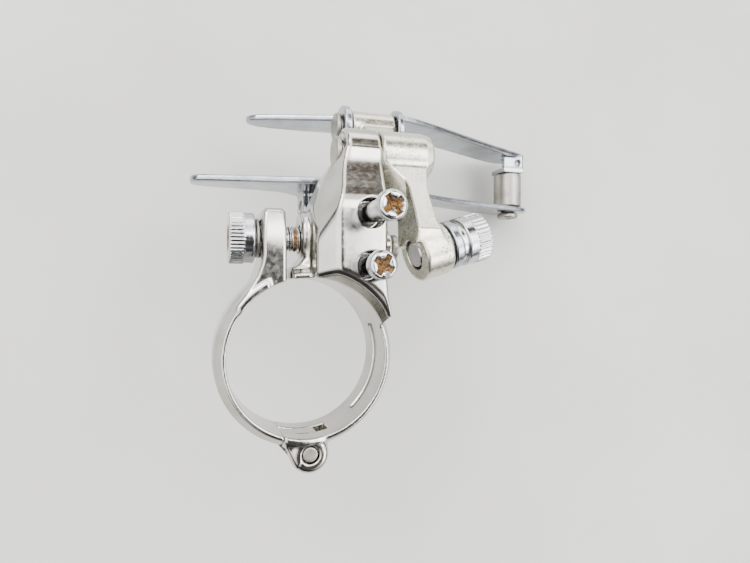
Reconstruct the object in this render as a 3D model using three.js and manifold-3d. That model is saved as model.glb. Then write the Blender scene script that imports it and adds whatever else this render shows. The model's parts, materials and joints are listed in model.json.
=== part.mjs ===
// A clamp-on bicycle front derailleur at rest, with its return spring holding the cage inboard.
// Millimetres. The seat tube runs along Z through the origin, +Y is the drive side and +X is rearward.
// Every pivot of the linkage runs along X. A and C belong to the outer link, B and D to the inner link.

import * as THREE from 'three';
import { mergeVertices } from 'three/addons/utils/BufferGeometryUtils.js';
import Module from 'manifold-3d';

const wasm = await Module();
wasm.setup();

// ---------------------------------------------------------------- driving dimensions

const gap = 0.3;                 // running clearance between pieces
const boreRadius = 14.3;         // 28.6 mm seat tube
const band = { half: 6, rim: 15.2, rib: 16.5, ribHalf: 3.2 };
const bandHinge = { x: 0.35, y: -17.3, boss: 3.5, pin: 1.4, knuckle: 2, seam: -4.1 };
const ear = { left: -8, right: -3.9, top: 26.8 };

const bolt = { y: 21.6, shank: 2.4, head: 4.7, end: -13.6, tip: 6.4, socket: 2.3 };
const washer = { radius: 3.6, thickness: 0.5 };
const threadHole = bolt.shank + gap;

const body = { left: 0.7, right: 13.3, top: 11, bottom: -6, knuckle: 4.6, neck: -2.6 };
const knuckleSpan = [6.7, 13.3];
const pivotA = { y: 37.8, z: 3 };
const pivotB = { y: 21, z: -8.5 };
const link = { y: 9.3, z: -16 };
const pivotC = { y: pivotA.y + link.y, z: pivotA.z + link.z };
const pivotD = { y: pivotB.y + link.y, z: pivotB.z + link.z };
const pin = { shank: 2, groove: 1.4, clip: 2.7 };
const pinHole = pin.shank + gap;
const pins = {
  a: { head: 3, headFrom: 5.2, headTo: 6.4, end: 23.6 },
  b: { head: 2.7, headFrom: 21.8, headTo: 20.2, end: 4.3, clipAt: 5.2 },
  c: { head: 3, headFrom: 9.3, headTo: 10.4, end: 24 },
  d: { head: 2.7, headFrom: 23.2, headTo: 22, end: 4.5 },
};

const screws = [
  { name: 'limit_screw_high', x: 10.3, y: 25.8, top: 22, tip: -4.8 },
  { name: 'limit_screw_low', x: 10.3, y: 16.4, top: 17.4, tip: -6.2 },
];
const screw = { shank: 1.85, head: 2.55, headLength: 2.7, counterbore: 2.7, counterDepth: 4 };

const outerSpan = [13.6, 24.8];  // outer link at pivot A
const tubeSpan = [12.7, 22.2];   // outer link at pivot C
const tubeRadius = 3.66;
const anchor = { start: [18.1, 18.4, 11], along: [0.959, 0.27, -0.087], boss: 4.9, length: 5.9 };

const frontCheek = [6, 8];
const rearCheek = [17.9, 19.9];
const eyeRadius = 3.4;
const stopSpan = [8, 12.2];      // stop tabs below the two limit screws

const cage = { inner: 34, outer: 49.4, sheet: 1.4 };
const earRadius = 4.6;
const outerEars = [[10.7, 12.4], [22.5, 24.1]];
const innerEars = [[4.2, 5.7], [20.2, 21.7]];
const bridge = { front: 13.2, rear: 23.6, top: -18.8, depth: 6, rivets: [15.6, 21.2], rivet: 1.1 };
const tail = { x: 67.6, z: -38.6, spacer: 3.9, screw: 1.7, head: 2.9, fold: 45 };

const spring = { coil: 3.1, wire: 0.45, turns: 2.5, from: 14.95, to: 17.25 };

// ---------------------------------------------------------------- outlines and solids

const axisX = new THREE.Vector3(1, 0, 0);
const axisY = new THREE.Vector3(0, 1, 0);
const axisZ = new THREE.Vector3(0, 0, 1);

// Turns a sketch plane so that its normal is the named axis.
const sketchPlanes = {
  x: new THREE.Matrix4().makeBasis(axisY, axisZ, axisX),
  y: new THREE.Matrix4().makeBasis(axisZ, axisX, axisY),
  z: new THREE.Matrix4(),
};

// A closed polygon whose points are [u, v] or [u, v, corner radius].
function polygon(points) {
  const shape = new THREE.Shape();
  const count = points.length;
  points.forEach(([u, v, radius = 0], i) => {
    const corner = new THREE.Vector2(u, v);
    const before = new THREE.Vector2(...points[(i + count - 1) % count].slice(0, 2));
    const after = new THREE.Vector2(...points[(i + 1) % count].slice(0, 2));
    const start = corner.clone().add(before.sub(corner).setLength(radius));
    const end = corner.clone().add(after.sub(corner).setLength(radius));
    if (i === 0) {
      shape.moveTo(start.x, start.y);
    } else {
      shape.lineTo(start.x, start.y);
    }
    if (radius > 0) {
      shape.quadraticCurveTo(corner.x, corner.y, end.x, end.y);
    }
  });
  shape.closePath();
  return shape;
}

function disc(u, v, radius) {
  return new THREE.Shape().absarc(u, v, radius, 0, Math.PI * 2);
}

// A wheel outline with evenly spaced teeth, for the knurled bolt heads.
function knurl(u, v, radius, depth, teeth) {
  const points = [];
  for (let i = 0; i < teeth * 2; i += 1) {
    const angle = (i * Math.PI) / teeth;
    const reach = i % 2 === 0 ? radius : radius - depth;
    points.push([u + reach * Math.cos(angle), v + reach * Math.sin(angle)]);
  }
  return polygon(points);
}

function hexagon(u, v, radius) {
  return knurl(u, v, radius, radius * (1 - Math.cos(Math.PI / 6)), 6);
}

// Mirrors a sketch drawn as (x, z) into the (z, x) plane that an extrusion along Y needs.
function sideSketch(points) {
  return polygon(points.map(([x, z, radius]) => [z, x, radius]));
}

function solidOf(geometry) {
  geometry.deleteAttribute('normal');
  geometry.deleteAttribute('uv');
  const merged = mergeVertices(geometry, 1e-4);
  const place = merged.attributes.position;
  const index = merged.index.array;
  const corner = [new THREE.Vector3(), new THREE.Vector3(), new THREE.Vector3()];
  const triangles = [];
  let volume = 0;
  for (let i = 0; i < index.length; i += 3) {
    const [a, b, c] = index.slice(i, i + 3);
    if (a !== b && b !== c && c !== a) {
      triangles.push(a, b, c);
      corner[0].fromBufferAttribute(place, a);
      corner[1].fromBufferAttribute(place, b);
      corner[2].fromBufferAttribute(place, c);
      volume += corner[0].dot(corner[1].cross(corner[2]));
    }
  }
  if (volume < 0) {
    triangles.reverse();
  }
  return new wasm.Manifold(new wasm.Mesh({
    numProp: 3,
    vertProperties: new Float32Array(place.array),
    triVerts: new Uint32Array(triangles),
  }));
}

// A shape pushed along an axis, or along the normal of a placed plane, with an optional bevelled edge.
function prism(shape, plane, from, to, edge = 0) {
  const geometry = new THREE.ExtrudeGeometry(shape, {
    depth: to - from - edge * 2,
    bevelEnabled: edge > 0,
    bevelThickness: edge,
    bevelSize: edge,
    bevelOffset: -edge,
    bevelSegments: 1,
    curveSegments: 4,
  });
  geometry.translate(0, 0, from + edge);
  geometry.applyMatrix4(sketchPlanes[plane] ?? plane);
  return solidOf(geometry);
}

// A profile of [along, radius] points turned about a line from a point in a direction.
function turned(profile, start, direction, segments = 32) {
  const points = profile.map(([along, radius]) => new THREE.Vector2(radius, along));
  const geometry = new THREE.LatheGeometry(points, segments);
  const turn = new THREE.Quaternion().setFromUnitVectors(axisY, direction.clone().normalize());
  geometry.applyQuaternion(turn);
  geometry.translate(start.x, start.y, start.z);
  return solidOf(geometry);
}

// A turned piece along X through a pivot, and along Z through a point of the plan.
function turnedX(profile, pivot, segments = 28) {
  return turned(profile, new THREE.Vector3(0, pivot.y, pivot.z), axisX, segments);
}

function turnedZ(profile, x, y, segments = 28) {
  return turned(profile, new THREE.Vector3(x, y, 0), axisZ, segments);
}

function rod(radius, from, to, edge = 0) {
  const shoulder = radius - edge;
  return [[from, 0], [from, shoulder], [from + edge, radius], [to - edge, radius], [to, shoulder], [to, 0]];
}

function ringProfile(inner, outer, from, to) {
  return [[from, inner], [from, outer], [to, outer], [to, inner], [from, inner]];
}

function joined(...solids) {
  return solids.reduce((whole, next) => whole.add(next));
}

function cut(solid, ...tools) {
  return tools.reduce((left, tool) => left.subtract(tool), solid);
}

// ---------------------------------------------------------------- materials and placing

const looks = {
  polished: { color: 0xd4d4d0, roughness: 0.28, metalness: 0.9 },
  lacquered: { color: 0xcdc9b6, roughness: 0.35, metalness: 0.7 },
  chrome: { color: 0xc4c7cc, roughness: 0.15, metalness: 1 },
  steel: { color: 0x9c9c98, roughness: 0.45, metalness: 0.9 },
  spring: { color: 0x8a8a88, roughness: 0.4, metalness: 0.9 },
};

const derailleur = new THREE.Group();

function place(name, solid, look) {
  const { vertProperties, triVerts } = solid.getMesh();
  const geometry = new THREE.BufferGeometry();
  geometry.setAttribute('position', new THREE.BufferAttribute(vertProperties, 3));
  geometry.setIndex(new THREE.BufferAttribute(triVerts, 1));
  geometry.computeVertexNormals();
  const mesh = new THREE.Mesh(geometry, new THREE.MeshStandardMaterial(looks[look]));
  mesh.name = name;
  derailleur.add(mesh);
}

// ---------------------------------------------------------------- seat-tube band

const boreTool = turnedZ(rod(boreRadius, -30, 30), 0, 0, 80);
const hingeBore = turnedZ(rod(bandHinge.pin + gap, -20, 20), bandHinge.x, bandHinge.y, 24);
const boltBore = turnedX(rod(bolt.shank + gap, -40, bolt.tip + 0.6), { y: bolt.y, z: 0 });

function bandRing() {
  const { half, rim, rib, ribHalf } = band;
  return turnedZ([
    [-half, boreRadius],
    [-half, rim],
    [-ribHalf, rib],
    [ribHalf, rib],
    [half, rim],
    [half, boreRadius],
    [-half, boreRadius],
  ], 0, 0, 80);
}

// The hinge barrel between two heights.
function hingeKnuckle(from, to) {
  return turnedZ(rod(bandHinge.boss, from, to, 0.2), bandHinge.x, bandHinge.y);
}

// The clearance that one half of the hinge leaves for the knuckle of the other half.
function hingeRelief(from, to) {
  return turnedZ(rod(bandHinge.boss + gap, from, to), bandHinge.x, bandHinge.y);
}

function fixedBand() {
  const { half } = band;
  const { x, knuckle, seam } = bandHinge;
  const split = knuckle + gap / 2;
  const sector = prism(polygon([
    [seam, -8],
    [seam, -30],
    [30, -30],
    [30, 30],
    [body.neck, 30],
    [body.neck, 8],
    [6, 0],
  ]), 'z', -half, half);
  const web = prism(polygon([[seam, -14], [seam, -15.6], [x - 2.4, -19.4], [x, -15]]), 'z', -half, half);
  const knuckles = joined(hingeKnuckle(-half, -split), hingeKnuckle(split, half), web);
  const clearance = prism(polygon([[seam - 1, -8], [seam - 1, -30], [x, -30], [x, -8]]), 'z', -split, split);
  const groove = turnedZ(ringProfile(13, boreRadius + 0.45, -1.6, 1.6), 0, 0, 80);
  const grooveSide = prism(polygon([[8, -11], [22, -11], [22, 8], [8, 8]]), 'z', -2, 2);
  const window = prism(polygon([[x, -16], [x + 4.2, -16], [x + 4.2, -12], [x, -12]]), 'z', -split, split);
  const arc = bandRing().intersect(sector);
  const relief = hingeRelief(-split, split);
  return cut(joined(arc, knuckles), clearance, relief, groove.intersect(grooveSide), window);
}

// ---------------------------------------------------------------- fixed casting

// The plane across the casting's sloping flank, which narrows the casting toward pivot A.
const flankPlane = new THREE.Matrix4()
  .makeRotationZ(-0.363)
  .setPosition(1.2, 27.5, 0)
  .multiply(sketchPlanes.y);

function castBlock() {
  const { left, right, top, bottom } = body;
  const plan = polygon([
    [left, 12],
    [left, 29],
    [3.4, 34.4],
    [knuckleSpan[0], 34.4],
    [knuckleSpan[0], 44],
    [right, 44],
    [right, 14, 3],
    [14.3, 7.4, 0.5],
    [13.2, 5.6],
    [4, 6],
  ]);
  const side = polygon([
    [5, bottom],
    [23.8, bottom],
    [25.4, -4.6],
    [28, -4],
    [34.6, -1.2, 1],
    [pivotA.y, -1.4],
    [pivotA.y, 7.5],
    [34.6, 8],
    [31.4, 9.2, 1.5],
    [28.4, top, 1],
    [5, top],
  ]);
  const front = sideSketch([[left, -20], [left, 8.4, 0.8], [4.3, top, 0.4], [4.3, 14], [17, 14], [17, -20]]);
  const flank = sideSketch([[0, -20], [0, 4.6], [3.3, top], [3.3, 14], [25, 14], [25, -20]]);
  return prism(plan, 'z', -12, 12)
    .intersect(prism(side, 'x', -3, 18))
    .intersect(prism(front, 'y', 4, 46))
    .intersect(prism(flank, flankPlane, -30, 30));
}

function fixedCasting() {
  const { right, bottom, top, knuckle } = body;
  const lug = prism(polygon([
    [pivotB.y - 3, -5],
    [pivotB.y - 3, pivotB.z - 3, 2.6],
    [pivotB.y + 3, pivotB.z - 3, 2.6],
    [pivotB.y + 3, -4.2],
  ]), 'x', stopSpan[0] + gap, right);
  const nutBoss = turnedX(rod(4.3, -0.8, 3, 0.4), { y: 22.5, z: 0 });
  const neck = prism(polygon([
    [body.neck, 12],
    [body.neck, 15.4, 1],
    [1.6, 18.5, 0.5],
    [3, 18.5],
    [3, 12],
  ]), 'z', bottom, 3.4);
  const rimFacet = turnedZ([
    [8.2, 13],
    [8.2, boreRadius + 0.1],
    [top + 1, 16.4],
    [top + 1, 13],
    [8.2, 13],
  ], 0, 0, 80);
  const knuckleA = turnedX(rod(knuckle, ...knuckleSpan, 0.5), pivotA);
  const pinBores = joined(
    turnedX(rod(pinHole, 0, 40), pivotA),
    turnedX(rod(pinHole, 0, 40), pivotB),
  );
  const linkRelief = turnedX(rod(eyeRadius + 0.5, frontCheek[0] - 2, stopSpan[0] + gap), pivotB);
  const screwBores = screws.map(({ x, y }) => turnedZ([
    [-20, 0],
    [-20, screw.shank + gap],
    [top - screw.counterDepth, screw.shank + gap],
    [top - screw.counterDepth, screw.counterbore],
    [top + 3, screw.counterbore],
    [top + 3, 0],
  ], x, y));
  const whole = cut(castBlock(), rimFacet).add(joined(knuckleA, lug, nutBoss, neck, fixedBand()));
  return cut(whole, boreTool, boltBore, pinBores, linkRelief, ...screwBores, hingeBore);
}

// ---------------------------------------------------------------- clamp arm

function clampArm() {
  const { half } = band;
  const { x, knuckle, seam } = bandHinge;
  const sector = prism(polygon([
    [seam - gap, -10],
    [seam - gap, -30],
    [-30, -30],
    [-30, 24],
    [-10, 24],
    [-6, 8],
  ]), 'z', -half, half);
  const upright = prism(polygon([
    [ear.right, 12],
    [ear.right, ear.top, 1.2],
    [ear.left, ear.top, 0.8],
    [ear.left, 18.2, 1.6],
    [-9.2, 14.4, 1.6],
    [-12.8, 9.2],
    [-11.4, 7.8],
  ]), 'z', -half, half, 0.35);
  const tongue = joined(
    hingeKnuckle(-knuckle, knuckle),
    prism(polygon([
      [seam - 1.5, -13.8],
      [seam - 1.5, -15.2],
      [x - 2.4, -19.4],
      [x, -14.6],
    ]), 'z', -knuckle, knuckle),
  );
  const arm = joined(bandRing().intersect(sector), upright, tongue);
  const boltSlot = prism(polygon([
    [bolt.y - 3.4, -2.9, 2],
    [bolt.y + 3.4, -2.9, 2],
    [bolt.y + 3.4, 2.9, 2],
    [bolt.y - 3.4, 2.9, 2],
  ]), 'x', -12, 0);
  return cut(arm, boreTool, boltSlot, hingeBore);
}

// ---------------------------------------------------------------- threaded fasteners

// A shank whose thread is drawn as separate grooves, as [along, radius] points.
function threadProfile(from, to, radius, pitch, depth) {
  const points = [];
  for (let at = from; at <= to - pitch; at += pitch) {
    points.push([at, radius], [at + pitch * 0.35, radius], [at + pitch * 0.6, radius - depth]);
  }
  return points;
}

function clampBolt() {
  const { y, head, end, tip, shank, socket } = bolt;
  const seat = ear.left - washer.thickness - gap * 2;
  const grip = turnedX([
    [end + 0.2, 0],
    [end + 0.2, head - 0.5],
    [seat - 1.9, head - 0.1],
    [seat - 0.3, head - 0.1],
    [seat, head - 0.4],
    [seat, shank],
    ...threadProfile(ear.right + 0.2, 0.6, shank, 0.8, 0.3),
    [1, shank],
    [tip - 0.4, shank - 0.1],
    [tip, shank - 0.6],
    [tip, 0],
  ], { y, z: 0 });
  const teeth = prism(knurl(y, 0, head, 0.28, 32), 'x', end, seat - 1.9, 0);
  const hexSocket = prism(hexagon(y, 0, socket), 'x', end - 1, end + 3.2);
  return cut(joined(grip, teeth), hexSocket);
}

function clampWasher() {
  const seat = ear.left - gap;
  return turnedX(ringProfile(threadHole, washer.radius, seat - washer.thickness, seat), { y: bolt.y, z: 0 });
}

function limitScrew({ x, y, top, tip }) {
  const { shank, head, headLength } = screw;
  const stem = turnedZ([
    [tip, 0],
    [tip, shank - 0.5],
    [tip + 0.5, shank],
    [top - headLength - 1, shank],
    [top - headLength, head - 0.35],
    [top - headLength + 0.4, head],
    [top - 0.5, head],
    [top, head - 0.5],
    [top, 0],
  ], x, y);
  const arm = 1.75;
  const slot = 0.42;
  const crossA = prism(polygon([
    [x - arm, y - slot],
    [x + arm, y - slot],
    [x + arm, y + slot],
    [x - arm, y + slot],
  ]), 'z', top - 1.4, top + 1);
  const crossB = prism(polygon([
    [x - slot, y - arm],
    [x + slot, y - arm],
    [x + slot, y + arm],
    [x - slot, y + arm],
  ]), 'z', top - 1.4, top + 1);
  return cut(stem, crossA, crossB);
}

// ---------------------------------------------------------------- pivot pins and their clips

// A headed pin along X, with a groove for its clip where clipAt is given.
function pivotPin(pivot, { head, headFrom, headTo, end, clipAt }) {
  const side = Math.sign(end - headFrom);
  const groove = clipAt === undefined ? [] : [
    [clipAt - side * 0.5, pin.shank],
    [clipAt - side * 0.5, pin.groove],
    [clipAt + side * 0.5, pin.groove],
    [clipAt + side * 0.5, pin.shank],
  ];
  return turnedX([
    [headFrom, 0],
    [headFrom, head - 0.3],
    [headFrom + side * 0.3, head],
    [headTo, head],
    [headTo, pin.shank],
    ...groove,
    [end - side * 0.3, pin.shank],
    [end, pin.shank - 0.3],
    [end, 0],
  ], pivot);
}

// A flat spring clip with an open mouth, seated in a pin's groove.
function pivotClip(pivot, at) {
  const ring = turnedX(ringProfile(pin.groove + 0.25, pin.clip, at - 0.3, at + 0.3), pivot);
  const mouth = prism(polygon([
    [pivot.y - 0.9, pivot.z],
    [pivot.y + 0.9, pivot.z],
    [pivot.y + 0.9, pivot.z - 6],
    [pivot.y - 0.9, pivot.z - 6],
  ]), 'x', at - 1, at + 1);
  return cut(ring, mouth);
}

// ---------------------------------------------------------------- outer link with its cable arm

const anchorStart = new THREE.Vector3(...anchor.start);
const anchorAlong = new THREE.Vector3(...anchor.along).normalize();

const anchorPlane = new THREE.Matrix4()
  .makeRotationFromQuaternion(new THREE.Quaternion().setFromUnitVectors(axisZ, anchorAlong))
  .setPosition(anchorStart);

function onAnchor(profile) {
  return turned(profile, anchorStart, anchorAlong, 28);
}

function outerLink() {
  const { y: ay, z: az } = pivotA;
  const { y: cy, z: cz } = pivotC;
  const hub = turnedX([
    [outerSpan[0], 0],
    [outerSpan[0], 4.1],
    [outerSpan[0] + 0.5, 4.6],
    [outerSpan[1] - 1.9, 4.6],
    [outerSpan[1] - 0.6, 3.7],
    [outerSpan[1], 1.6],
    [outerSpan[1], 0],
  ], pivotA);
  const tube = turnedX(rod(tubeRadius, ...tubeSpan, 0.25), pivotC);
  const web = prism(polygon([
    [ay + 3.1, az],
    [ay - 3.1, az - 1.4],
    [cy - 3.1, cz - 0.5],
    [cy + 2.8, cz + 1.4],
  ]), 'x', outerSpan[0] + 1.2, tubeSpan[1] - 0.4, 0.3);
  const armSide = prism(polygon([
    [ay + 1.3, az + 3.4],
    [ay - 3, az + 4.9, 2],
    [28, 11, 2],
    [21.4, 15.4, 3],
    [15, 11],
    [17, 6.8, 1],
    [25, 4.2, 2],
    [ay - 3.2, az - 1.5],
    [ay + 1, az - 2],
  ]), 'x', 14, 27);
  const armPlan = prism(polygon([
    [outerSpan[0] + 0.6, 42],
    [outerSpan[0] + 0.6, 37.4, 2],
    [16.9, 32.8, 3],
    [17.3, 26, 2],
    [16.6, 20],
    [23.2, 20],
    [21.4, 25.2, 2],
    [21.4, 31.3, 3],
    [outerSpan[1] - 1.2, 36.4, 2],
    [outerSpan[1] - 1.2, 42],
  ]), 'z', -6, 18);
  const boss = onAnchor(rod(anchor.boss, 0, anchor.length, 0.4));
  const whole = joined(hub, tube, web, armSide.intersect(armPlan), boss);
  return cut(whole,
    turnedX(rod(pinHole, 0, pins.a.end + gap), pivotA),
    turnedX(rod(pinHole, 0, 40), pivotC),
    onAnchor(rod(threadHole, -5, 20)));
}

const anchorWasher = { from: anchor.length + 0.6, to: anchor.length + 2.2, radius: 4.5 };

function cableWasher() {
  const { from, to, radius } = anchorWasher;
  return onAnchor([
    [from, threadHole],
    [from, radius - 0.2],
    [from + 0.2, radius],
    [to - 0.3, radius],
    [to, radius - 0.3],
    [to, threadHole],
    [from, threadHole],
  ]);
}

function cableBolt() {
  const seat = anchorWasher.to + gap;
  const knurlFrom = seat + 2.9;
  const end = seat + 6;
  const shank = bolt.shank;
  const turnedBody = onAnchor([
    [0.1, 0],
    [0.1, shank - 0.5],
    [0.5, shank],
    [anchorWasher.from, shank],
    [seat, shank],
    [seat, 3.9],
    [seat + 0.8, 3.9],
    [seat + 1.1, 4.5],
    [knurlFrom, 4.5],
    [end - 0.2, 4.1],
    [end - 0.2, 0],
  ]);
  const teeth = prism(knurl(0, 0, 4.6, 0.28, 32), anchorPlane, knurlFrom, end);
  const hexSocket = prism(hexagon(0, 0, bolt.socket), anchorPlane, end - 3, end + 1);
  return cut(joined(turnedBody, teeth), hexSocket);
}

// ---------------------------------------------------------------- inner link

function linkCheek([from, to]) {
  const { y: by, z: bz } = pivotB;
  const { y: dy, z: dz } = pivotD;
  const arm = prism(polygon([
    [by + 3.1, bz + 1.8],
    [by - 3.1, bz - 1.8],
    [(by + dy) / 2 - 2.3, (bz + dz) / 2 - 1.3, 3],
    [dy - 3.1, dz - 1.8],
    [dy + 3.1, dz + 1.8],
    [(by + dy) / 2 + 2.3, (bz + dz) / 2 + 1.3, 3],
  ]), 'x', from, to);
  const eye = rod(eyeRadius, from, to, 0.2);
  return joined(turnedX(eye, pivotB), turnedX(eye, pivotD), arm);
}

function innerLink() {
  const { y: by, z: bz } = pivotB;
  const { y: dy, z: dz } = pivotD;
  const rocker = prism(polygon([
    [by - 6.8, bz],
    [by - 6.8, bz + 2],
    [by - 4, bz + 2],
    [by, bz + 3.4],
    [by + 3.9, bz],
    [by + 6.1, bz],
    [by + 6.1, bz - 2],
    [by, bz - 3.4],
  ]), 'x', ...frontCheek);
  const lowStop = prism(polygon([
    [by - 6.8, bz],
    [by - 6.8, bz + 2],
    [by - 4, bz + 2],
    [by - 4, bz],
  ]), 'x', frontCheek[1] - 1, stopSpan[1]);
  const highStop = prism(polygon([
    [by + 3.9, bz - 2],
    [by + 3.9, bz],
    [by + 6.1, bz],
    [by + 6.1, bz - 2],
  ]), 'x', frontCheek[1] - 1, stopSpan[1]);
  const midway = { y: (by + dy) / 2, z: (bz + dz) / 2 };
  const crossBar = turnedX(rod(1.9, frontCheek[1] - 1, rearCheek[0] + 1), midway);
  const whole = joined(linkCheek(frontCheek), linkCheek(rearCheek), rocker, lowStop, highStop, crossBar);
  return cut(whole, turnedX(rod(pinHole, 0, 40), pivotB), turnedX(rod(pinHole, 0, 40), pivotD));
}

// ---------------------------------------------------------------- chain cage

// An ear folded from a cage plate, round about a pivot and reaching to the plate's face.
function pivotEar(pivot, [from, to], plateFace, radius) {
  const reach = prism(polygon([
    [pivot.y, pivot.z + radius],
    [pivot.y, pivot.z - radius],
    [plateFace, pivot.z - radius],
    [plateFace, pivot.z + radius * 0.8],
  ]), 'x', from, to);
  return joined(turnedX(rod(radius, from, to, 0.25), pivot), reach);
}

function outerPlate() {
  const { outer, sheet } = cage;
  const face = prism(sideSketch([
    [-8.4, -24, 1.7],
    [-6, -20.6, 2],
    [2, -18.4, 3],
    [9, -16.6, 2],
    [outerEars[0][0], -16.6],
    [outerEars[0][0], -10.4],
    [27, -12.4, 2],
    [34, -16, 5],
    [56, -28.2, 6],
    [68, -34.6, 2],
    [73.6, -39, 2],
    [72.6, -44.6, 3],
    [64, -45, 4],
    [50, -36.6, 8],
    [28, -26.2, 8],
    [4, -27.6, 6],
    [-7, -27, 1.5],
  ]), 'y', outer, outer + sheet, 0.3);
  const notch = prism(sideSketch([
    [outerEars[0][1], -17.3, 1],
    [outerEars[1][0], -17.3, 1],
    [outerEars[1][0], 0],
    [outerEars[0][1], 0],
  ]), 'y', outer - 5, outer + 5);
  const ears = outerEars.map((span) => pivotEar(pivotC, span, outer + sheet / 2, earRadius));
  const foldTop = prism(sideSketch([[64.4, -36.4], [64.4, -35], [70.6, -35], [70.6, -36.4]]), 'y',
    tail.fold, outer + 0.5);
  const foldDown = prism(sideSketch([[64.4, -42.4, 1], [64.4, -35], [70.6, -35], [70.6, -42.4, 1]]), 'y',
    tail.fold, tail.fold + sheet);
  const foldHole = turnedZ(rod(0.8, -38, -34), 68.9, 47.8, 16);
  const rivetHoles = bridge.rivets.map((x) => turned(rod(bridge.rivet + 0.25, outer - 3, outer + 3),
    new THREE.Vector3(x, 0, bridge.top - 3.6), axisY, 16));
  return cut(joined(face, ...ears, foldTop, foldDown), notch, turnedX(rod(pinHole, 0, 40), pivotC), foldHole,
    tailBore(), ...rivetHoles);
}

function tailBore() {
  return turned(rod(tail.screw + 0.25, 20, 60), new THREE.Vector3(tail.x, 0, tail.z), axisY, 20);
}

function innerPlate() {
  const { inner, outer, sheet } = cage;
  const { front, rear, top, depth, rivets, rivet } = bridge;
  const face = prism(sideSketch([
    [-20.4, -16.6, 2.1],
    [-18.6, -12.8, 1.9],
    [-4, -10.8, 3],
    [4, -8.9, 3],
    [12.4, -9.6, 4],
    [36, -22.6, 8],
    [58, -32, 5],
    [73, -36.4, 3],
    [74, -42, 2],
    [68, -47.4, 4],
    [50, -38.2, 8],
    [24, -29.2, 6],
    [3, -28.8, 3],
    [-1, -22.6, 2],
    [-19, -20.2, 1.6],
  ]), 'y', inner, inner + sheet, 0.3);
  const ears = innerEars.map((span) => pivotEar(pivotD, span, inner + sheet / 2, 3.9));
  const roof = prism(sideSketch([[front, top - sheet], [front, top], [rear, top], [rear, top - sheet]]), 'y',
    inner + 0.5, outer - gap);
  const tab = prism(sideSketch([
    [front, top - depth, 1.2],
    [front, top],
    [rear, top],
    [rear, top - depth, 1.2],
  ]), 'y', outer - gap - sheet, outer - gap);
  const rivetHoles = rivets.map((x) => turned(rod(rivet + 0.25, outer - 3, outer + 3),
    new THREE.Vector3(x, 0, top - 3.6), axisY, 16));
  const whole = joined(face, ...ears, roof, tab);
  return cut(whole, turnedX(rod(pinHole, 0, 40), pivotD), tailBore(), ...rivetHoles);
}

function bridgeRivet(x) {
  const { outer, sheet } = cage;
  const { rivet, top } = bridge;
  const outside = outer + sheet + 0.25;
  const inside = outer - gap - sheet - 0.25;
  return turned([
    [inside - 0.7, 0],
    [inside - 0.7, 1.2],
    [inside - 0.3, 1.8],
    [inside, 1.8],
    [inside, rivet],
    [outside, rivet],
    [outside, 1.8],
    [outside + 0.3, 1.8],
    [outside + 0.7, 1.2],
    [outside + 0.7, 0],
  ], new THREE.Vector3(x, 0, top - 3.6), axisY, 20);
}

function tailSpacer() {
  const from = cage.inner + cage.sheet + 0.25;
  const profile = ringProfile(tail.screw + 0.25, tail.spacer, from, tail.fold - 0.25);
  return turned(profile, new THREE.Vector3(tail.x, 0, tail.z), axisY);
}

function tailScrew() {
  const seat = cage.inner - 0.25;
  return turned([
    [seat - 1.6, 0],
    [seat - 1.6, tail.head - 0.8],
    [seat - 0.6, tail.head],
    [seat, tail.head],
    [seat, tail.screw],
    [tail.fold + cage.sheet + 0.6, tail.screw],
    [tail.fold + cage.sheet + 0.9, tail.screw - 0.3],
    [tail.fold + cage.sheet + 0.9, 0],
  ], new THREE.Vector3(tail.x, 0, tail.z), axisY, 24);
}

// ---------------------------------------------------------------- return spring

// The spring's wire: a leg under the casting, a coil round pin B and a leg over the inner link's bar.
class SpringWire extends THREE.Curve {
  getPoint(t) {
    const { coil, turns, from, to } = spring;
    const leg = 0.12;
    const { y, z } = pivotB;
    const angleAt = (u) => Math.PI / 2 + u * turns * Math.PI * 2;
    if (t < leg) {
      return new THREE.Vector3(from, y - (1 - t / leg) * 4.6, z + coil);
    }
    if (t > 1 - leg) {
      const angle = angleAt(1);
      const out = ((t - 1 + leg) / leg) * 6;
      return new THREE.Vector3(to, y + coil * Math.cos(angle) + out, z + coil * Math.sin(angle));
    }
    const u = (t - leg) / (1 - leg * 2);
    return new THREE.Vector3(
      from + u * (to - from),
      y + coil * Math.cos(angleAt(u)),
      z + coil * Math.sin(angleAt(u)),
    );
  }
}

function returnSpring() {
  const geometry = new THREE.ExtrudeGeometry(disc(0, 0, spring.wire), {
    steps: 48,
    extrudePath: new SpringWire(),
    curveSegments: 4,
    bevelEnabled: false,
  });
  return solidOf(geometry);
}

// ---------------------------------------------------------------- assembly

place('body_casting', fixedCasting(), 'polished');
place('clamp_arm', clampArm(), 'polished');
place('band_hinge_pin', turnedZ(rod(bandHinge.pin, -5.7, 5.7, 0.25), bandHinge.x, bandHinge.y, 24), 'steel');
place('clamp_bolt', clampBolt(), 'chrome');
place('clamp_washer', clampWasher(), 'steel');
screws.forEach((item) => place(item.name, limitScrew(item), 'chrome'));
place('pivot_pin_a', pivotPin(pivotA, pins.a), 'steel');
place('pivot_pin_b', pivotPin(pivotB, pins.b), 'steel');
place('pivot_clip_b', pivotClip(pivotB, pins.b.clipAt), 'spring');
place('pivot_pin_c', pivotPin(pivotC, pins.c), 'steel');
place('pivot_pin_d', pivotPin(pivotD, pins.d), 'steel');
place('outer_link', outerLink(), 'lacquered');
place('cable_washer', cableWasher(), 'chrome');
place('cable_bolt', cableBolt(), 'chrome');
place('inner_link', innerLink(), 'lacquered');
place('return_spring', returnSpring(), 'spring');
place('cage_outer_plate', outerPlate(), 'chrome');
place('cage_inner_plate', innerPlate(), 'chrome');
place('bridge_rivet_front', bridgeRivet(bridge.rivets[0]), 'steel');
place('bridge_rivet_rear', bridgeRivet(bridge.rivets[1]), 'steel');
place('tail_spacer', tailSpacer(), 'steel');
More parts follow.
